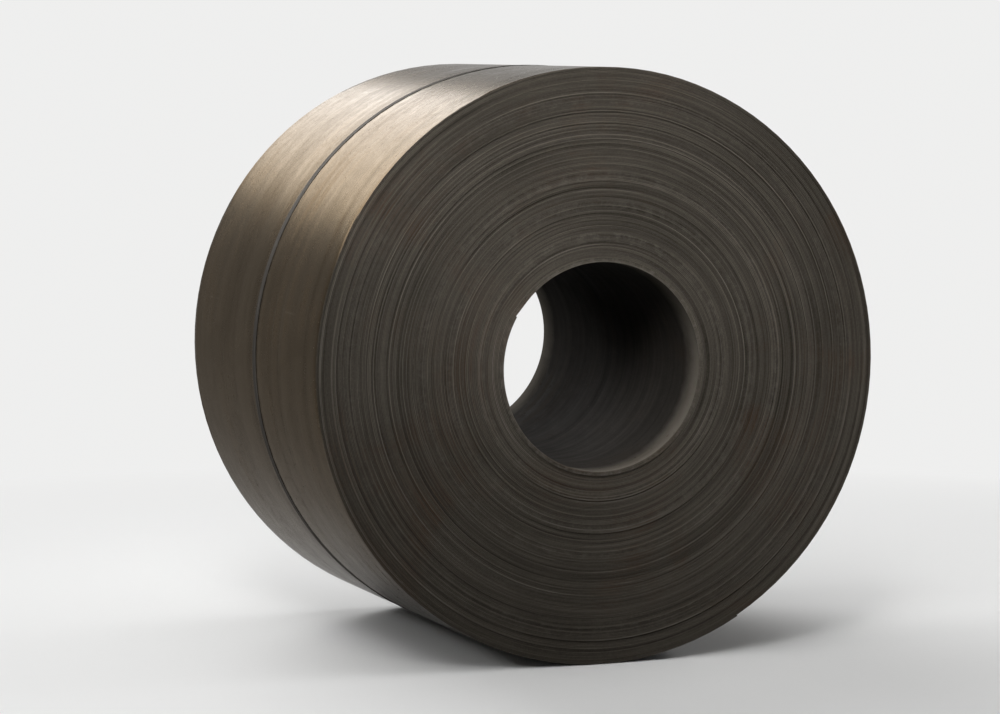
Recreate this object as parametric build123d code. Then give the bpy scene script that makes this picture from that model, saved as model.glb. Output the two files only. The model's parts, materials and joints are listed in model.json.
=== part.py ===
from build123d import *
import os
from math import acos, cos, degrees, radians, sin

# A hot-rolled steel coil, lying on its side with its eye level and one steel strap round its belly.
# Millimetres. X runs across the coil, Y along its axis with the front end at -Y, and Z is up.
# The origin is on the floor, under the middle of the coil.
# Angles are in degrees, as seen from the front end, counter-clockwise from 3 o'clock.

# The strip, and the coil that it is wound into
strip_width = 1250.0
strip_thickness = 4.0
bore_diameter = 610.0
coil_diameter = 1740.0

# Where the outermost turn ends on the shell, and where the innermost one starts in the bore
tail_angle = 300.0
head_angle = 150.0

# The strip wandered sideways as it was wound, so bands of turns stand proud at one end and back at the
# other. Each band is a number of turns and its shift towards the front, from the bore outwards.
turn_bands = (
    (3, 5.0),
    (11, 0.5),
    (7, 2.5),
    (15, -0.5),
    (9, 1.5),
    (13, -1.5),
    (6, 2.0),
    (14, 0.0),
    (10, -2.5),
    (12, 1.0),
    (8, -1.0),
    (16, 1.5),
    (5, -2.0),
)
outer_band_shift = 0.5

# The strap, its overlapped ends and the seal that is crimped over them
strap_width = 32.0
strap_thickness = 1.0
strap_from_front = 600.0
strap_overlap = 170.0
seal_angle = 52.0
seal_length = 60.0
seal_wall = 1.4
notch_length = 9.0
notch_depth = 4.5
notch_spacing = 26.0

# Sizes that follow from those above
coil_radius = coil_diameter / 2
bore_radius = bore_diameter / 2
strap_y = strap_from_front - strip_width / 2
cutter_margin = 5 * strip_thickness


def polar(radius, angle):
    """A point of the end view, from the coil's axis."""
    return radius * cos(radians(angle)), radius * sin(radians(angle))


def arc_degrees(length, radius):
    """The angle that a length takes round a circle."""
    return degrees(length / radius)


def shell_arc(angle):
    """Centre and radius of the half circle that the shell follows at an angle.

    The shell closes in by one strip thickness a turn. Two half circles do that, each set off towards
    or away from the tail by a quarter of the strip's thickness.
    """
    quarter = strip_thickness / 4
    turned_back = (tail_angle - angle) % 360
    if turned_back < 180:
        return polar(quarter, tail_angle), coil_radius - quarter
    return polar(-quarter, tail_angle), coil_radius - 3 * quarter


def tangent_wedge(radius, height, angle, side):
    """A triangle from a circle's centre to a corner that stands above the circle at an angle, and to
    the point where a tight strip, pulled straight off that corner, touches the circle again.

    Side is 1 where that point lies counter-clockwise of the corner, and -1 where it lies clockwise.
    """
    sweep = degrees(acos(radius / (radius + height)))
    corner = polar(radius + height, angle)
    touch = polar(radius, angle + side * sweep)
    return make_face(Polyline((0, 0), corner, touch, close=True))


def ring_sector(inner, outer, start, sweep):
    """A stretch of a flat ring, from the angle start on."""
    arcs = [CenterArc((0, 0), radius, start, sweep) for radius in (inner, outer)]
    ends = [Line(arcs[0] @ place, arcs[1] @ place) for place in (0, 1)]
    return make_face(arcs + ends)


def across(face, width, centre_y):
    """A solid with the face as its end view, as wide as given and centred on a place along the axis."""
    return Pos(0, centre_y, 0) * extrude(Plane.XZ * face, amount=width / 2, both=True)


def shell_outline():
    """The coil's end view without its bore: a spiral's outermost turn, with the step at its tail."""
    newer_centre, newer_radius = shell_arc(tail_angle)
    older_centre, older_radius = shell_arc(tail_angle + 180)
    newer = CenterArc(newer_centre, newer_radius, tail_angle - 180, 180)
    older = CenterArc(older_centre, older_radius, tail_angle, 180)
    return make_face([newer, older, Line(older @ 0, newer @ 1)])


def outline_under_strap():
    """What a tight strap lies on: the shell, and a straight line over the step at the tail."""
    centre, radius = shell_arc(tail_angle + 180)
    return shell_outline() + Pos(*centre) * tangent_wedge(radius, strip_thickness, tail_angle, 1)


def band_edges():
    """Inner radius, outer radius and shift of each band of turns, from the bore to past the shell."""
    bands = []
    inner = bore_radius
    for turns, shift in turn_bands:
        outer = inner + turns * strip_thickness
        if outer > coil_radius - 2 * strip_thickness:
            break
        bands.append((inner, outer, shift))
        inner = outer
    bands.append((inner, coil_radius + cutter_margin, outer_band_shift))
    return bands


def turned_body():
    """The bands of turns, turned about the axis. It runs past the shell, which trims it later."""
    front = []
    back = []
    for inner, outer, shift in band_edges():
        front += [(inner, -strip_width / 2 - shift), (outer, -strip_width / 2 - shift)]
        back += [(inner, strip_width / 2 - shift), (outer, strip_width / 2 - shift)]
    section = make_face(Polyline(*front, *reversed(back), close=True))
    return revolve(section, Axis.Y)


def make_coil():
    """One strip wound on itself: stepped ends, a step at the tail and a notch in the bore at the head."""
    through = 2 * strip_width
    body = turned_body() & across(shell_outline(), through, 0)
    head_notch = tangent_wedge(bore_radius, strip_thickness, head_angle, -1)
    return body - across(head_notch, through, 0)


def overlap_layer():
    """End view of the strap's second layer, where one end lies on the other and ramps down behind it."""
    centre, radius = shell_arc(seal_angle)
    lower = radius + strap_thickness
    half_sweep = arc_degrees(strap_overlap / 2, radius)
    layer = ring_sector(lower, lower + strap_thickness, seal_angle - half_sweep, 2 * half_sweep)
    ramp = tangent_wedge(lower, strap_thickness, seal_angle + half_sweep, 1) - Circle(lower)
    return Pos(*centre) * (layer + ramp)


def make_strap():
    """The strap pulled tight round the shell, with its ends overlapped under the seal."""
    under = outline_under_strap()
    loop = offset(under, strap_thickness) - under
    return across(loop + overlap_layer(), strap_width, strap_y)


def make_seal(strap):
    """A sleeve over both layers of the strap, with a pair of crimped notches in each side."""
    centre, radius = shell_arc(seal_angle)
    top = radius + 2 * strap_thickness + seal_wall
    sweep = arc_degrees(seal_length, radius)
    sleeve = Pos(*centre) * ring_sector(radius, top, seal_angle - sweep / 2, sweep)
    seal = across(sleeve, strap_width + 2 * seal_wall, strap_y) - strap
    for way_round in (-1, 1):
        notch_angle = seal_angle + way_round * arc_degrees(notch_spacing / 2, radius)
        for side in (-1, 1):
            edge_y = strap_y + side * (strap_width / 2 + seal_wall)
            cutter = Box(4 * seal_wall + 4 * strap_thickness, 2 * notch_depth, notch_length)
            place = polar(radius + strap_thickness, notch_angle)
            turned = Rot(0, -notch_angle, 0) * cutter
            seal -= Pos(centre[0] + place[0], edge_y, centre[1] + place[1]) * turned
    return seal


coil = make_coil()
belly_strap = make_strap()
strap_seal = make_seal(belly_strap)
pieces = {"coil": coil, "belly_strap": belly_strap, "strap_seal": strap_seal}

axis_height = -min(piece.bounding_box().min.Z for piece in pieces.values())
print("axis height", round(axis_height, 3))

os.makedirs("parts", exist_ok=True)
for name, piece in pieces.items():
    export_step(Pos(0, 0, axis_height) * piece, f"parts/{name}.step")
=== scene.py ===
import json
import math

import bpy
import numpy as np
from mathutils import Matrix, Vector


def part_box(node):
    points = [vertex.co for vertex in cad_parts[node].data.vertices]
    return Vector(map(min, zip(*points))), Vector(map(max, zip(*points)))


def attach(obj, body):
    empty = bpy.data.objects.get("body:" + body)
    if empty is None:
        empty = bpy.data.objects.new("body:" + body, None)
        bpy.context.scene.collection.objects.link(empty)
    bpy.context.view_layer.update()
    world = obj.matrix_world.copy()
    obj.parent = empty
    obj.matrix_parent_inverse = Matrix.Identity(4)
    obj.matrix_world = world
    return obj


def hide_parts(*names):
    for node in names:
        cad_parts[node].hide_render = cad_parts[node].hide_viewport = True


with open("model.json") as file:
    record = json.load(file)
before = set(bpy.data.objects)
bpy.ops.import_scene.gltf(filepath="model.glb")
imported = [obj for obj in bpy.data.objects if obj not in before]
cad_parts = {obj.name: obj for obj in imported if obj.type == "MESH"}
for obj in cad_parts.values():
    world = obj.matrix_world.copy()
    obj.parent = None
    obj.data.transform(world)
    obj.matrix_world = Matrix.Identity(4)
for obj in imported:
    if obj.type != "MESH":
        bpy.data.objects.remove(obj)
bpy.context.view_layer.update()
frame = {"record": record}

# A hot-rolled steel coil on a pale floor. Metres, in the frame's own axes: Y along the coil's axis with
# the front end at -Y, and Z up. Angles are in degrees, seen from the front end, from 3 o'clock.

mounts = {mount["name"]: mount for mount in frame["record"]["mounts"]}

# The coil, as the frame gives it
bore_radius = mounts["eye"]["dims"]["r_mm"] / 1000
strip_width = mounts["eye"]["dims"]["length_mm"] / 1000
axis_height = mounts["eye"]["pos_m"][2]
shell_clearance = 0.0003
coil_radius = mounts["cradle_line"]["dims"]["r_mm"] / 1000 - shell_clearance

# How the strip is wound: a whole number of turns, and the part of a turn from its head to its tail. The
# pitch is the thickness that fills the space between the bore and the shell exactly.
strip_thickness = 0.004
head_angle = 150.0
tail_angle = 300.0
turn_fraction = (tail_angle - head_angle) / 360
layers = round((coil_radius - bore_radius) / strip_thickness - turn_fraction) + turn_fraction
pitch = (coil_radius - bore_radius) / layers
turn_count = layers - 1
settled_after = 25.0

# Each band of turns, from the bore outwards: how many turns, and the shift towards the front. The
# outermost band takes the turns that are left.
turn_bands = (
    (3, 0.0050),
    (11, 0.0005),
    (7, 0.0025),
    (15, -0.0005),
    (9, 0.0015),
    (13, -0.0015),
    (6, 0.0020),
    (14, 0.0),
    (10, -0.0025),
    (12, 0.0010),
    (8, -0.0010),
    (16, 0.0015),
    (5, -0.0020),
)
outer_band_shift = 0.0005
band_blend = 0.25

# How turns wander sideways within their band: how far, over how many turns, and the seed. Now and then
# one strays further, because a high power leaves only the largest values.
wander = (
    (0.00045, 5.3, 11),
    (0.00035, 0.9, 12),
    (0.00010, 0.21, 13),
)
stray_turns = (0.00150, 1.1, 14)
rare_power = 5

# The gap beside each turn: its depth, and its share of the turn's thickness on each side. Both change
# from turn to turn, and a few gaps are deep.
gap_depth = 0.0013
gap_depth_change = (0.0006, 0.37, 21)
deep_gaps = (0.0030, 1.3, 22)
gap_share = 0.14
gap_share_change = (0.45, 0.83, 23)

# The shell's outer edges are a little wavy
edge_wave_height = 0.0004
edge_wave_sink = 0.6
edge_wave_reach = 0.05
edge_wave_spacing = 17.0
edge_wave_seed = 31

# The mesh of the coil
columns = 108
shell_rows = 24
bore_rows = 14
edge_round = 0.0005
rounding = 1e-9
coil_sharp_edge = 35
strap_sharp_edge = 40

# The strap
strap_low, strap_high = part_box("belly_strap")
strap_width = strap_high.y - strap_low.y
strap_y = (strap_high.y + strap_low.y) / 2
strap_thickness = 0.001
strap_bevel = 0.00022
strap_overlap = 0.170
layer_gap = 0.00004
strap_steps = 300
overlap_steps = 60
ramp_steps = 12

# Its seal, and the pair of notches that is crimped into each side
seal_angle = 52.0
seal_length = 0.060
seal_wall = 0.0014
seal_gap = 0.0001
seal_corner = 0.0006
seal_steps = 61
notch_length = 0.009
notch_depth = 0.0026
notch_spacing = 0.026
notch_sink = 0.25

# The camera, at the photograph's angle and height but with a lens long enough for the coil alone
camera_azimuth = 21.0
camera_distance = 11.0
camera_height = 1.82
camera_aim = (-0.08, 0.0, axis_height - 0.02)
camera_lens = 130

# The floor and the surround: what is seen of them, and how much light each gives
background_colour = (0.86, 0.86, 0.855)
ambient_level = 0.07
floor_colour = (0.87, 0.87, 0.865)
floor_mottle = 0.94
floor_bounce = (0.07, 0.07, 0.07)
floor_half_width = 40.0
floor_fade = (1.4, 4.4)

# Each lamp: its name, place, target, width and height, level, and the angle that it fans out over. The
# highlight along the shell is the mirror image of the rear one.
middle = (0, 0, axis_height)
lamps = (
    ("overhead", (-0.5, -0.8, 4.4), (-0.2, -0.5, 0.0), (6.0, 5.4), 1.15, 180.0),
    ("left_box", (-6.0, 0.4, 3.6), middle, (6.0, 1.0), 5.0, 90.0),
    ("right_box", (6.0, 0.4, 3.6), middle, (6.0, 1.0), 5.5, 90.0),
    ("front_top", (-1.4, -2.6, 2.9), (-0.25, -0.63, 1.5), (2.2, 1.4), 24.0, 42.0),
    ("front_fill", (-3.5, -7.0, 5.0), middle, (4.0, 3.0), 2.0, 180.0),
    ("rear_box", (-2.1, 9.0, 5.3), middle, (8.4, 3.0), 11.5, 90.0),
)


def smooth_noise(places, spacing, seed):
    """Random values from -1 to 1, evenly spaced along a line and joined smoothly."""
    values = np.random.default_rng(seed).uniform(-1, 1, int(places.max() / spacing) + 3)
    whole = np.floor(places / spacing).astype(int)
    part = places / spacing - whole
    part = part * part * (3 - 2 * part)
    return values[whole] * (1 - part) + values[whole + 1] * part


def smooth_step(values):
    """0 below 0, 1 above 1, and a smooth rise between them."""
    held = np.clip(values, 0, 1)
    return held * held * (3 - 2 * held)


def place(radius, angle, y):
    """Points at a radius and an angle about the coil's axis."""
    turned = np.radians(angle)
    radius, turned, y = np.broadcast_arrays(radius, turned, y)
    return np.stack([radius * np.cos(turned), y, axis_height + radius * np.sin(turned)], axis=-1)


def strip_places(lengths, across):
    """What the materials read: each point's length along the strip and its place across it."""
    lengths, across = np.broadcast_arrays(np.reshape(lengths, (-1, 1)), across)
    return np.stack([lengths, across, 0 * lengths], axis=-1).reshape(-1, 3)


def new_object(name, points, faces, materials, attributes, sharp, face_materials=None):
    """A mesh object, smooth except where two faces meet at more than the sharp angle.

    Attributes are the values, or vectors, that its materials read at each point.
    """
    mesh = bpy.data.meshes.new(name)
    mesh.from_pydata(points.tolist(), [], faces)
    for material in materials:
        mesh.materials.append(material)
    if face_materials is not None:
        mesh.polygons.foreach_set("material_index", np.asarray(face_materials, dtype=np.int32))
    for label, values in attributes.items():
        vector = np.ndim(values) == 2
        layer = mesh.attributes.new(label, "FLOAT_VECTOR" if vector else "FLOAT", "POINT")
        layer.data.foreach_set("vector" if vector else "value", np.ravel(values).astype(np.float32))
    mesh.polygons.foreach_set("use_smooth", np.ones(len(mesh.polygons), dtype=bool))
    mesh.set_sharp_from_angle(angle=math.radians(sharp))
    mesh.validate()
    mesh.update()
    made = bpy.data.objects.new(name, mesh)
    bpy.context.scene.collection.objects.link(made)
    return made


def spiral_radius(turn):
    """The strip's inner radius after a number of turns.

    The first turns are circles that step over the strip's head end, and further out the winding
    settles into an even spiral.
    """
    whole = np.floor(turn + rounding)
    part = turn - whole
    sweep = math.acos(bore_radius / (bore_radius + pitch))
    past_touch = np.clip((part - 1) * 2 * math.pi + sweep, 0, sweep)
    stepped = (1 / np.cos(past_touch) - 1) * bore_radius / pitch
    even = smooth_step(turn / settled_after)
    return bore_radius + pitch * (whole + (1 - even) * stepped + even * part)


def sideways_shift(turn):
    """How far the strip lies towards the front after a number of turns."""
    band_shifts = [shift for turns, shift in turn_bands] + [outer_band_shift]
    band_ends = np.cumsum([turns for turns, shift in turn_bands])
    knots = [0.0]
    shifts = [band_shifts[0]]
    for end, before, after in zip(band_ends, band_shifts, band_shifts[1:]):
        knots += [end - band_blend, end + band_blend]
        shifts += [before, after]
    shift = np.interp(turn, knots, shifts)
    for size, spacing, seed in wander:
        shift = shift + size * smooth_noise(turn, spacing, seed)
    size, spacing, seed = stray_turns
    shift = shift + size * smooth_noise(turn, spacing, seed) ** rare_power
    return np.clip(shift, min(band_shifts), max(band_shifts))


class WoundStrip:
    """The wound strip, column by column from its head end to its tail end."""

    def __init__(self):
        self.number = np.arange(round(turn_count * columns) + 1)
        self.turn = self.number / columns
        self.angle = head_angle + 360 * self.turn
        self.inner = spiral_radius(self.turn)
        self.outer = spiral_radius(self.turn + 1)
        self.shift = sideways_shift(self.turn)
        self.length = 2 * math.pi * self.turn * (bore_radius + pitch * self.turn / 2)

        size, spacing, seed = gap_depth_change
        self.gap = gap_depth + size * smooth_noise(self.turn, spacing, seed)
        size, spacing, seed = deep_gaps
        self.gap = self.gap + size * np.abs(smooth_noise(self.turn, spacing, seed)) ** rare_power
        self.gap[:columns] = edge_round
        size, spacing, seed = gap_share_change
        self.opening = gap_share * (1 + size * smooth_noise(self.turn, spacing, seed)) * pitch


class CoilMesh:
    """The points and faces of the coil, as one closed mesh.

    Both ends are one spiral sheet each, and the shell and the bore join them.
    """

    edges, shell, bore, cut = range(4)

    def __init__(self, strip):
        self.strip = strip
        self.count = 0
        self.points = []
        self.attributes = {"turn": [], "gap": [], "strip": []}
        self.faces = []
        self.face_materials = []

    def add_points(self, points, chosen, in_gap=0.0):
        """Adds points of the chosen columns, and gives the number of the first one.

        In_gap is 1 for a point that lies in the gap between two turns.
        """
        first = self.count
        flat = np.reshape(points, (-1, 3))
        across = flat[:, 1:2] + strip_width / 2
        self.count += len(flat)
        self.points.append(flat)
        self.attributes["turn"].append(self.strip.turn[chosen])
        self.attributes["gap"].append(np.broadcast_to(in_gap, len(flat)))
        self.attributes["strip"].append(strip_places(self.strip.length[chosen], across))
        return first

    def add_faces(self, faces, material, flip):
        """Adds faces with as many corners as each other, turned over where flip says so."""
        corners = np.asarray(faces)
        if flip:
            corners = corners[:, ::-1]
        self.faces.extend(tuple(face) for face in corners.tolist())
        self.face_materials.extend([material] * len(corners))

    def add_end(self, side):
        """One end of the coil, -1 for the front and 1 for the back.

        It has three points to a turn: one in the gap to the turn inside it, and the two corners of the
        strip's edge. Gives the points in the gap, and the points outside each column.
        """
        strip = self.strip
        radii = np.stack([strip.inner, strip.inner + strip.opening, strip.outer - strip.opening], axis=1)
        sink = np.stack([strip.gap, 0 * strip.gap, 0 * strip.gap], axis=1)
        edge_y = side * strip_width / 2 - strip.shift
        sheet = self.add_points(
            place(radii, strip.angle[:, None], edge_y[:, None] - side * sink),
            np.repeat(strip.number, 3),
            np.tile([1.0, 0.0, 0.0], len(strip.number)),
        )
        outermost = strip.number[-columns:]
        rim = self.add_points(
            place(strip.outer[outermost] - edge_round, strip.angle[outermost], edge_y[outermost]),
            outermost,
        )
        in_gap = sheet + 3 * strip.number
        outside = np.concatenate([in_gap[columns:], rim + np.arange(columns)])
        spirals = [in_gap, in_gap + 1, in_gap + 2, outside]
        for low, high in zip(spirals, spirals[1:]):
            quads = np.stack([low[:-1], high[:-1], high[1:], low[1:]], axis=1)
            self.add_faces(quads, self.edges, side > 0)
        return in_gap, outside

    def add_band(self, chosen, places, radii, material, front, back, flip):
        """Rows of points across the strip, from its front edge to its back edge.

        Places are the rows' shares of the strip's width, and front and back are the edges' own points.
        Gives the point numbers, row by row.
        """
        strip = self.strip
        y = -strip_width / 2 - strip.shift[chosen] + places[:, None] * strip_width
        first = self.add_points(place(radii, strip.angle[chosen], y), np.tile(chosen, len(places)))
        rows = first + np.arange(y.size).reshape(y.shape)
        grid = np.concatenate([[front], rows, [back]])
        for near, far in zip(grid[:-1], grid[1:]):
            self.add_faces(np.stack([near[:-1], near[1:], far[1:], far[:-1]], axis=1), material, flip)
        return grid

    def add_cut_end(self, grid, front_gap, back_gap, flip):
        """The strip's sheared end, between the first and the last column of the shell or the bore.

        Front_gap and back_gap are the points in the gap beside that end. The corners of the strip's
        edge follow them.
        """
        low = grid[:, 0]
        high = grid[:, -1]
        front = [low[0], front_gap + 1, front_gap + 2, high[0], high[1], low[1]]
        between = np.stack([low[1:-2], high[1:-2], high[2:-1], low[2:-1]], axis=1)
        back = [low[-2], high[-2], high[-1], back_gap + 2, back_gap + 1, low[-1]]
        for faces in ([front], between, [back]):
            self.add_faces(faces, self.cut, flip)

    def to_object(self, name, materials):
        """The coil as an object, with a material for each kind of surface."""
        return new_object(
            name,
            np.concatenate(self.points),
            self.faces,
            materials,
            {label: np.concatenate(parts) for label, parts in self.attributes.items()},
            coil_sharp_edge,
            self.face_materials,
        )


def row_places(rows):
    """Places across the strip, as shares of its width, closer together near its edges."""
    return 0.5 - 0.5 * np.cos(np.pi * np.arange(1, rows) / rows)


def shell_wave(angle, places):
    """How far the shell rises or sinks at its angles, for each row across the strip."""
    ripple = smooth_noise(angle - angle[0], edge_wave_spacing, edge_wave_seed)
    from_edge = np.minimum(places, 1 - places) * strip_width
    fade = np.exp(-from_edge / edge_wave_reach)
    return edge_wave_height * (ripple - edge_wave_sink) * fade[:, None]


def make_coil(materials):
    """The whole coil. Its materials are those of its ends, shell, bore and cut ends."""
    strip = WoundStrip()
    mesh = CoilMesh(strip)
    front_gap, front_outside = mesh.add_end(-1)
    back_gap, back_outside = mesh.add_end(1)

    outer_turn = strip.number[-columns - 1:]
    places = row_places(shell_rows)
    places[0] = edge_round / strip_width
    places[-1] = 1 - edge_round / strip_width
    radii = strip.outer[outer_turn] + shell_wave(strip.angle[outer_turn], places)
    front = front_outside[outer_turn]
    back = back_outside[outer_turn]
    shell = mesh.add_band(outer_turn, places, radii, mesh.shell, front, back, True)

    inner_turn = strip.number[:columns + 1]
    places = row_places(bore_rows)
    radii = strip.inner[inner_turn]
    front = front_gap[inner_turn]
    back = back_gap[inner_turn]
    bore = mesh.add_band(inner_turn, places, radii, mesh.bore, front, back, False)

    mesh.add_cut_end(shell, front_gap[-1], back_gap[-1], False)
    mesh.add_cut_end(bore, front_gap[0], back_gap[0], True)
    return mesh.to_object("steel_coil", materials)


def strap_radius(angle):
    """What the tight strap lies on: the shell, and a straight line over the step at the tail."""
    angle = np.asarray(angle, dtype=float)
    back_from_tail = ((tail_angle - angle) % 360) / 360
    past_tail = np.radians((angle - tail_angle) % 360)
    sweep = math.acos((coil_radius - pitch) / coil_radius)
    bridge = (coil_radius - pitch) / np.cos(np.clip(sweep - past_tail, 0, sweep))
    return np.where(past_tail < sweep, bridge, coil_radius - pitch * back_from_tail)


def crimp(along):
    """How far the seal's notches press in, at a length along the strap from the seal's middle."""
    deepest = np.zeros_like(along)
    for notch in (-notch_spacing / 2, notch_spacing / 2):
        reach = 1 - np.abs(along - notch) / (notch_length / 2)
        deepest = np.maximum(deepest, notch_depth * smooth_step(2 * reach))
    return deepest


def swept(name, loops, material, lengths, across):
    """A closed mesh through loops of points, each as long as the others, with both ends capped."""
    count, size = loops.shape[:2]
    numbers = np.arange(count * size).reshape(count, size)
    faces = []
    for near, far in zip(numbers[:-1], numbers[1:]):
        quads = np.stack([near, np.roll(near, -1), np.roll(far, -1), far], axis=1)
        faces += [tuple(quad) for quad in quads.tolist()]
    faces.append(tuple(numbers[0][::-1].tolist()))
    faces.append(tuple(numbers[-1].tolist()))
    attributes = {"strip": strip_places(lengths, across)}
    return new_object(name, loops.reshape(-1, 3), faces, [material], attributes, strap_sharp_edge)


def make_strap(material):
    """The strap, from its lower end under the seal, once round clockwise and up over that end."""
    overlap = math.degrees(strap_overlap / coil_radius)
    climb = math.degrees(math.acos((coil_radius + strap_thickness) / (coil_radius + 2 * strap_thickness)))
    lapped = np.linspace(0, overlap, overlap_steps)
    single = np.linspace(overlap, 360 - climb, strap_steps)
    ramp = np.linspace(360 - climb, 360, ramp_steps)
    turned = np.concatenate([lapped[:-1], single, ramp[1:], 360 + lapped[1:]])
    angle = seal_angle + overlap / 2 - turned
    climbed = np.clip((turned - 360 + climb) / climb, 0, 1)
    base = strap_radius(angle) + (strap_thickness + layer_gap) * climbed ** 2

    from_seal = np.minimum(np.abs(turned - overlap / 2), np.abs(turned - 360 - overlap / 2))
    half_width = strap_width / 2 - crimp(np.radians(from_seal) * coil_radius)
    inset = 1 - 2 * strap_bevel / strap_width
    section = (
        (-1, strap_bevel),
        (-inset, 0),
        (inset, 0),
        (1, strap_bevel),
        (1, strap_thickness - strap_bevel),
        (inset, strap_thickness),
        (-inset, strap_thickness),
        (-1, strap_thickness - strap_bevel),
    )
    loops = [place(base + height, angle, strap_y + share * half_width) for share, height in section]
    across = np.array([share * strap_width / 2 for share, height in section])
    lengths = np.radians(turned) * coil_radius
    return swept("steel_strap", np.stack(loops, axis=1), material, lengths, across)


def make_seal(material):
    """The sleeve over both layers of the strap, open towards the shell, with its notches pressed in."""
    along = np.linspace(-seal_length / 2, seal_length / 2, seal_steps)
    angle = seal_angle + np.degrees(along / coil_radius)
    inside = 2 * strap_thickness + seal_gap
    top = inside + seal_wall
    inner_half = strap_width / 2 + seal_gap
    outer_half = inner_half + seal_wall
    section = (
        (-outer_half, 0.0),
        (-outer_half, top - seal_corner),
        (-outer_half + seal_corner, top),
        (outer_half - seal_corner, top),
        (outer_half, top - seal_corner),
        (outer_half, 0.0),
        (inner_half, 0.0),
        (inner_half, inside),
        (-inner_half, inside),
        (-inner_half, 0.0),
    )
    pressed = crimp(np.abs(along))
    lowered = 1 - notch_sink * pressed / notch_depth
    loops = []
    for half, height in section:
        y = strap_y + half - math.copysign(1, half) * pressed
        loops.append(place(strap_radius(angle) + height * lowered, angle, y))
    across = np.array([half for half, height in section])
    return swept("steel_seal", np.stack(loops, axis=1), material, along, across)


class Nodes:
    """A node tree, and short calls for the nodes in it."""

    def __init__(self, tree):
        self.tree = tree

    def node(self, kind, settings=None, inputs=None):
        made = self.tree.nodes.new("ShaderNode" + kind)
        for name, value in (settings or {}).items():
            setattr(made, name, value)
        for name, value in (inputs or {}).items():
            self.put(made.inputs[name], value)
        return made

    def put(self, socket, value):
        """Links a socket to another one, or gives it a number, a vector or a colour."""
        if isinstance(value, bpy.types.NodeSocket):
            self.tree.links.new(value, socket)
        elif socket.type == "RGBA":
            socket.default_value = (*value, 1.0)
        else:
            socket.default_value = value

    def object_place(self):
        return self.node("TexCoord").outputs["Object"]

    def attribute(self, name, output="Fac"):
        return self.node("Attribute", {"attribute_name": name}).outputs[output]

    def part(self, vector, axis):
        return self.node("SeparateXYZ", None, {"Vector": vector}).outputs[axis]

    def stretched(self, vector, scale):
        return self.node("Mapping", None, {"Vector": vector, "Scale": scale}).outputs["Vector"]

    def noise(self, vector, scale=1.0, detail=4.0, roughness=0.55, distortion=0.0):
        inputs = {
            "Vector": vector,
            "Scale": scale,
            "Detail": detail,
            "Roughness": roughness,
            "Distortion": distortion,
        }
        return self.node("TexNoise", None, inputs).outputs["Fac"]

    def noise_along(self, value, scale, detail=2.0, roughness=0.6):
        inputs = {"W": value, "Scale": scale, "Detail": detail, "Roughness": roughness}
        return self.node("TexNoise", {"noise_dimensions": "1D"}, inputs).outputs["Fac"]

    def math(self, operation, first, second=0.0, third=0.0):
        made = self.node("Math", {"operation": operation})
        for socket, value in zip(made.inputs, (first, second, third)):
            self.put(socket, value)
        return made.outputs[0]

    def times(self, first, second):
        return self.math("MULTIPLY", first, second)

    def larger(self, first, second):
        return self.math("MAXIMUM", first, second)

    def away_from(self, value, middle_value):
        return self.math("ABSOLUTE", self.math("SUBTRACT", value, middle_value))

    def between(self, value, low, high, to_low=0.0, to_high=1.0):
        """0 at low and 1 at high, or to_low and to_high, even between them and held past them."""
        inputs = {"Value": value, "From Min": low, "From Max": high, "To Min": to_low, "To Max": to_high}
        return self.node("MapRange", {"clamp": True}, inputs).outputs[0]

    def weigh(self, *parts):
        """The sum of values, each times its weight."""
        total = 0.0
        for value, weight in parts:
            total = self.math("MULTIPLY_ADD", value, weight, total)
        return total

    def mix(self, factor, first, second):
        """The first colour where the factor is 0, and the second where it is 1."""
        made = self.node("Mix", {"data_type": "RGBA"})
        for socket, value in ((made.inputs[0], factor), (made.inputs[6], first), (made.inputs[7], second)):
            self.put(socket, value)
        return made.outputs[2]

    def bump(self, height, distance, strength, under=None):
        inputs = {"Height": height, "Distance": distance, "Strength": strength}
        if under is not None:
            inputs["Normal"] = under
        return self.node("Bump", None, inputs).outputs["Normal"]

    def shown(self):
        """1 for what the camera, a reflection or a transparent piece sees, and 0 for light on things."""
        path = self.node("LightPath").outputs
        seen = path["Is Camera Ray"]
        for name in ("Is Glossy Ray", "Is Transmission Ray"):
            seen = self.larger(seen, path[name])
        return seen


class Shader(Nodes):
    """A new material and the nodes that it is made of."""

    def __init__(self, name):
        self.material = bpy.data.materials.new(name)
        self.material.use_nodes = True
        super().__init__(self.material.node_tree)
        self.surface = self.tree.nodes["Principled BSDF"]

    def finish(self, **inputs):
        for name, value in inputs.items():
            self.put(self.surface.inputs[name.replace("_", " ")], value)
        return self.material


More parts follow.
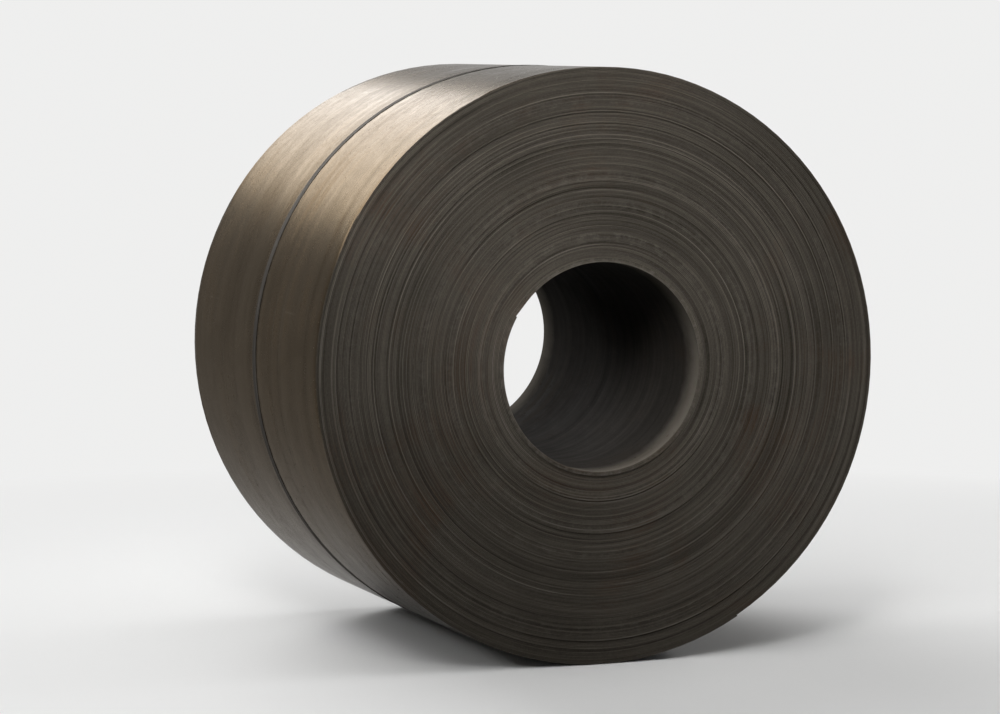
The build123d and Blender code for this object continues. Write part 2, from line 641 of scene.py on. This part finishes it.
def wound_edges():
    """The strip's mill edges at the coil's ends: dull dark brown-grey, each turn a little different."""
    dark_edge = (0.029, 0.0255, 0.0195)
    light_edge = (0.113, 0.099, 0.081)
    rubbed_edge = (0.153, 0.138, 0.119)
    rust_brown = (0.070, 0.037, 0.020)
    # Painted shade, near black, for the gaps between the turns
    gap_shade = (0.008, 0.007, 0.006)
    proud_from = strip_width / 2 + 0.0006
    proud_full = strip_width / 2 + 0.0040

    s = Shader("wound_edges")
    spot = s.object_place()
    strip = s.attribute("strip", "Vector")
    turn = s.attribute("turn")
    gap = s.attribute("gap")

    # Tone: from turn to turn, from band to band, along the strip and in soft clouds over all
    single = s.noise_along(turn, scale=1.9, detail=1.0, roughness=0.5)
    rings = s.noise_along(turn, scale=0.42, detail=3.0, roughness=0.7)
    bands = s.noise_along(turn, scale=0.075)
    stretches = s.noise_along(s.part(strip, "X"), scale=1.3, detail=5.0, roughness=0.7)
    clouds = s.noise(spot, scale=1.9, detail=6.0, roughness=0.62)
    grain = s.noise(spot, scale=210.0, detail=3.0)
    tone = s.weigh(
        (single, 0.24),
        (rings, 0.24),
        (bands, 0.12),
        (stretches, 0.22),
        (clouds, 0.16),
        (grain, 0.10),
    )
    colour = s.mix(s.between(tone, 0.43, 0.66), dark_edge, light_edge)

    # Corners that stand proud are rubbed brighter, and so is a turn here and there
    proud = s.between(s.away_from(s.part(strip, "Y"), strip_width / 2), proud_from, proud_full)
    worn = s.noise(spot, scale=38.0, detail=6.0, roughness=0.7)
    proud = s.times(proud, s.between(worn, 0.46, 0.62))
    lone = s.times(s.between(single, 0.66, 0.76), s.between(stretches, 0.42, 0.60))
    rubbed = s.larger(proud, lone)
    colour = s.mix(s.times(rubbed, 0.50), colour, rubbed_edge)

    # Rust in patches that follow the turns, and painted shade, near black, in the gaps between them
    patches = s.noise(spot, scale=2.6, detail=8.0, roughness=0.7, distortion=0.8)
    lines = s.noise_along(turn, scale=0.8, detail=4.0, roughness=0.75)
    rust = s.times(s.between(patches, 0.50, 0.68), s.between(lines, 0.42, 0.64))
    colour = s.mix(s.times(rust, 0.60), colour, rust_brown)
    colour = s.mix(s.times(gap, 0.85), colour, gap_shade)

    gloss = s.weigh((tone, 1.0), (rubbed, 0.12))
    pits = s.noise(spot, scale=330.0, detail=4.0, roughness=0.7)
    shear_lines = s.noise(s.stretched(strip, (900.0, 12.0, 1.0)), detail=2.0)
    relief = s.weigh((pits, 0.6), (shear_lines, 0.4))
    return s.finish(
        Base_Color=colour,
        Roughness=s.between(gloss, 0.43, 0.72, to_low=0.80, to_high=0.48),
        Specular_IOR_Level=0.06,
        Normal=s.bump(relief, distance=0.0005, strength=0.7),
    )


def rolled_scale(
    name,
    dark,
    light,
    brown,
    edge_scale_and_painted_light,
    edge_reach,
    smooth,
    rough,
    metallic,
    edge_gloss,
    shine,
):
    """Mill scale on the strip's faces, laid in long streaks along the rolling direction.

    Over the scale lie a brown bloom in patches, rust specks, faint water marks, fine scratches, flaked
    spots, and a band along each of the strip's edges: thicker scale on the shell, and in the bore a
    painted highlight for the light that reaches into its mouths.
    """
    speck_brown = tuple(0.8 * part for part in brown)
    mark_dark = tuple(0.5 * part for part in dark)
    bare_steel = tuple(2.0 * part for part in light)
    edge_start = -0.004
    edge_fray = -0.030

    s = Shader(name)
    spot = s.object_place()
    strip = s.attribute("strip", "Vector")

    lanes = s.noise(s.stretched(strip, (0.06, 6.0, 1.0)), detail=3.0, roughness=0.6)
    broad = s.noise(s.stretched(strip, (0.16, 24.0, 1.0)), detail=4.0, roughness=0.6)
    streaks = s.noise(s.stretched(strip, (0.35, 130.0, 1.0)), detail=4.0, roughness=0.65)
    hair = s.noise(s.stretched(strip, (1.1, 900.0, 1.0)), detail=3.0, roughness=0.65)
    blotches = s.noise(spot, scale=2.4, detail=6.0, roughness=0.60, distortion=0.4)
    mottle = s.noise(spot, scale=24.0, detail=5.0, roughness=0.62)
    flecks = s.noise(spot, scale=170.0, detail=3.0, roughness=0.6)
    tone = s.weigh(
        (lanes, 0.30),
        (broad, 0.22),
        (streaks, 0.20),
        (hair, 0.12),
        (blotches, 0.20),
        (mottle, 0.08),
        (flecks, 0.06),
    )
    colour = s.mix(s.between(tone, 0.48, 0.72), dark, light)

    # The strip's edges cooled faster, so their scale is thicker and redder. In the bore this band is paler
    # instead: painted light where the lamps reach into its mouths.
    from_middle = s.away_from(s.part(strip, "Y"), strip_width / 2)
    inward = s.math("SUBTRACT", strip_width / 2, from_middle)
    frayed = s.math("MULTIPLY_ADD", mottle, edge_fray, inward)
    edge = s.between(frayed, edge_start, edge_reach, to_low=1.0, to_high=0.0)
    colour = s.mix(s.times(edge, 0.55), colour, edge_scale_and_painted_light)

    # A brown bloom with rust specks in it
    bloom = s.times(s.between(blotches, 0.49, 0.64), s.between(broad, 0.40, 0.58))
    colour = s.mix(s.times(bloom, 0.45), colour, brown)
    specks = s.noise(spot, scale=75.0, detail=2.0, roughness=0.5)
    specks = s.times(s.between(specks, 0.66, 0.72), s.between(blotches, 0.44, 0.60))
    colour = s.mix(s.times(specks, 0.7), colour, speck_brown)

    # Water marks: a crisp outer line that fades inwards
    puddles = s.stretched(spot, (1.0, 0.7, 1.0))
    puddles = s.noise(puddles, scale=2.3, detail=2.0, roughness=0.4, distortion=0.2)
    outline = s.between(puddles, 0.575, 0.583)
    fading = s.between(puddles, 0.583, 0.640, to_low=1.0, to_high=0.15)
    colour = s.mix(s.times(s.times(outline, fading), 0.15), colour, mark_dark)

    # Scratches along the strip, a few across it, and flaked spots where brighter steel shows
    drawn = s.noise(s.stretched(strip, (1.2, 460.0, 1.0)), detail=1.0, roughness=0.4)
    dragged = s.stretched(strip, (240.0, 3.0, 1.0))
    dragged = s.noise(dragged, detail=1.0, roughness=0.4, distortion=1.2)
    dragged = s.times(s.between(dragged, 0.76, 0.79), s.between(blotches, 0.5, 0.6))
    scratch = s.larger(s.between(drawn, 0.735, 0.765), dragged)
    flaked = s.times(s.between(flecks, 0.64, 0.72), s.between(mottle, 0.48, 0.60))
    colour = s.mix(s.times(s.larger(scratch, flaked), 0.45), colour, bare_steel)

    gloss = s.weigh((tone, 0.70), (flecks, 0.12), (mottle, 0.15), (bloom, -0.10), (specks, -0.20))
    fine = s.weigh((hair, 0.35), (flecks, 0.55), (scratch, -0.25), (specks, 0.30))
    waves = s.weigh((lanes, 0.6), (broad, 0.3), (streaks, 0.04))
    normal = s.bump(fine, distance=0.00022, strength=0.7)
    return s.finish(
        Base_Color=colour,
        Metallic=metallic,
        Roughness=s.between(gloss, 0.44, 0.64, to_low=rough, to_high=smooth),
        Specular_Tint=edge_gloss,
        Specular_IOR_Level=shine,
        Normal=s.bump(waves, distance=0.0040, strength=0.30, under=normal),
    )


def shell_scale():
    """Scale on the outermost turn: half gloss, and a metal's bright glance at a low angle."""
    return rolled_scale(
        "shell_scale",
        dark=(0.030, 0.027, 0.024),
        light=(0.084, 0.075, 0.064),
        brown=(0.060, 0.045, 0.032),
        edge_scale_and_painted_light=(0.036, 0.029, 0.023),
        edge_reach=0.030,
        smooth=0.17,
        rough=0.30,
        metallic=0.9,
        edge_gloss=(0.42, 0.390, 0.357),
        shine=0.5,
    )


def bore_scale():
    """Scale in the bore: dull and dark, and paler near the ends, a painted highlight for the light that
    reaches into its mouths.
    """
    return rolled_scale(
        "bore_scale",
        dark=(0.019, 0.017, 0.015),
        light=(0.036, 0.032, 0.028),
        brown=(0.032, 0.024, 0.017),
        # Paler band near the ends: painted light where the lamps reach into the mouths
        edge_scale_and_painted_light=(0.240, 0.214, 0.178),
        edge_reach=0.090,
        smooth=0.75,
        rough=0.95,
        metallic=0.0,
        edge_gloss=(0.30, 0.28, 0.26),
        shine=0.02,
    )


def sheared_steel():
    """The strip's cut ends: brighter torn metal with fine lines through the thickness."""
    s = Shader("sheared_steel")
    grain = s.noise(s.stretched(s.object_place(), (400.0, 900.0, 400.0)), detail=3.0)
    return s.finish(
        Base_Color=s.mix(grain, (0.10, 0.09, 0.08), (0.26, 0.24, 0.22)),
        Metallic=0.8,
        Roughness=0.5,
        Normal=s.bump(grain, distance=0.0004, strength=0.6),
    )


def waxed_strapping():
    """Black strapping, scuffed to the steel along its edges and where it was dragged."""
    black_wax = (0.020, 0.018, 0.016)
    scuffed_steel = (0.095, 0.087, 0.076)
    edge_wear_from = strap_width / 2 - 0.002

    s = Shader("waxed_strapping")
    strip = s.attribute("strip", "Vector")
    from_middle = s.math("ABSOLUTE", s.part(strip, "Y"))
    scuffs = s.noise(s.stretched(strip, (6.0, 420.0, 1.0)), detail=5.0, roughness=0.7)
    patches = s.noise(s.stretched(strip, (3.0, 70.0, 1.0)), detail=4.0)
    near_edge = s.between(from_middle, edge_wear_from, strap_width / 2)
    wear = s.times(scuffs, s.between(patches, 0.35, 0.7))
    wear = s.between(s.math("MULTIPLY_ADD", near_edge, 0.10, wear), 0.30, 0.66)
    return s.finish(
        Base_Color=s.mix(wear, black_wax, scuffed_steel),
        Metallic=0.6,
        Roughness=s.between(wear, 0.0, 1.0, to_low=0.62, to_high=0.42),
        Specular_Tint=(0.45, 0.42, 0.38),
        Specular_IOR_Level=0.3,
        Normal=s.bump(scuffs, distance=0.0003, strength=0.4),
    )


def plated_seal():
    """The seal's plated sheet steel, dulled, with darker grime in spots."""
    dull_plate = (0.17, 0.17, 0.17)
    clean_plate = (0.32, 0.315, 0.30)
    grime_brown = (0.09, 0.075, 0.06)

    s = Shader("plated_seal")
    spot = s.object_place()
    strip = s.attribute("strip", "Vector")
    spangle = s.noise(spot, scale=380.0, detail=4.0, roughness=0.6)
    grime = s.noise(spot, scale=60.0, detail=5.0, roughness=0.65)
    colour = s.mix(spangle, dull_plate, clean_plate)
    colour = s.mix(s.between(grime, 0.45, 0.70), colour, grime_brown)
    drag = s.noise(s.stretched(strip, (900.0, 60.0, 1.0)), detail=3.0)
    return s.finish(
        Base_Color=colour,
        Metallic=0.9,
        Roughness=s.between(drag, 0.3, 0.7, to_low=0.34, to_high=0.50),
        Normal=s.bump(drag, distance=0.0002, strength=0.5),
    )


def make_camera():
    """The photograph's view of the coil, aimed straight at it."""
    camera = bpy.data.cameras.new("camera")
    camera.lens = camera_lens
    camera.sensor_width = 36
    made = bpy.data.objects.new("camera", camera)
    bpy.context.scene.collection.objects.link(made)
    turned = math.radians(camera_azimuth)
    made.location = (
        -camera_distance * math.sin(turned),
        -camera_distance * math.cos(turned),
        camera_height,
    )
    aim = made.location - Vector(camera_aim)
    made.rotation_euler = aim.to_track_quat("Z", "Y").to_euler()
    bpy.context.scene.camera = made


def make_world():
    """An even pale surround, dimmer as a light than as a background."""
    world = bpy.data.worlds.new("surround")
    bpy.context.scene.world = world
    world.use_nodes = True
    nodes = Nodes(world.node_tree)
    background = nodes.tree.nodes["Background"]
    nodes.put(background.inputs["Color"], background_colour)
    strength = nodes.between(nodes.shown(), 0.0, 1.0, to_low=ambient_level, to_high=1.0)
    nodes.put(background.inputs["Strength"], strength)


def make_floor():
    """A pale floor that fades into the background away from the coil."""
    reach = floor_half_width
    corners = np.array([(-reach, -reach, 0), (reach, -reach, 0), (reach, reach, 0), (-reach, reach, 0)])
    s = Shader("pale_floor")
    spot = s.object_place()
    shown = s.shown()
    grain = s.noise(spot, scale=3.0, detail=3.0)
    colour = s.mix(s.times(grain, 0.15), floor_colour, tuple(floor_mottle * part for part in floor_colour))
    s.finish(Base_Color=s.mix(shown, floor_bounce, colour), Roughness=0.85)
    distance = s.node("VectorMath", {"operation": "LENGTH"}, {0: spot}).outputs["Value"]
    far = s.times(s.between(distance, *floor_fade), shown)
    glow = s.node("Emission", None, {"Color": background_colour, "Strength": 1.0})
    both = s.node("MixShader", None, {0: far, 1: s.surface.outputs[0], 2: glow.outputs[0]})
    s.put(s.tree.nodes["Material Output"].inputs["Surface"], both.outputs[0])
    floor = new_object("floor", corners, [(0, 1, 2, 3)], [s.material], {}, coil_sharp_edge)


def soft_light(name, where, target, size, level, spread):
    """A rectangular lamp that faces its target. Level is how bright its face looks straight on, and
    spread is the angle that its light fans out over."""
    lamp = bpy.data.lights.new(name, "AREA")
    lamp.shape = "RECTANGLE"
    lamp.size, lamp.size_y = size
    lamp.spread = math.radians(spread)
    half = lamp.spread / 2
    lamp.energy = level * math.pi * size[0] * size[1] * (1 - half / math.tan(half))
    made = bpy.data.objects.new(name, lamp)
    bpy.context.scene.collection.objects.link(made)
    made.location = where
    aim = made.location - Vector(target)
    made.rotation_euler = aim.to_track_quat("Z", "Y").to_euler()


make_camera()
make_world()
make_floor()
for lamp in lamps:
    soft_light(*lamp)

coil = make_coil([wound_edges(), shell_scale(), bore_scale(), sheared_steel()])
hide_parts("coil")
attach(coil, "root")

strap = make_strap(waxed_strapping())
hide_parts("belly_strap")
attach(strap, "root")

seal = make_seal(plated_seal())
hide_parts("strap_seal")
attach(seal, "root")

bpy.context.scene.view_settings.view_transform = "Standard"
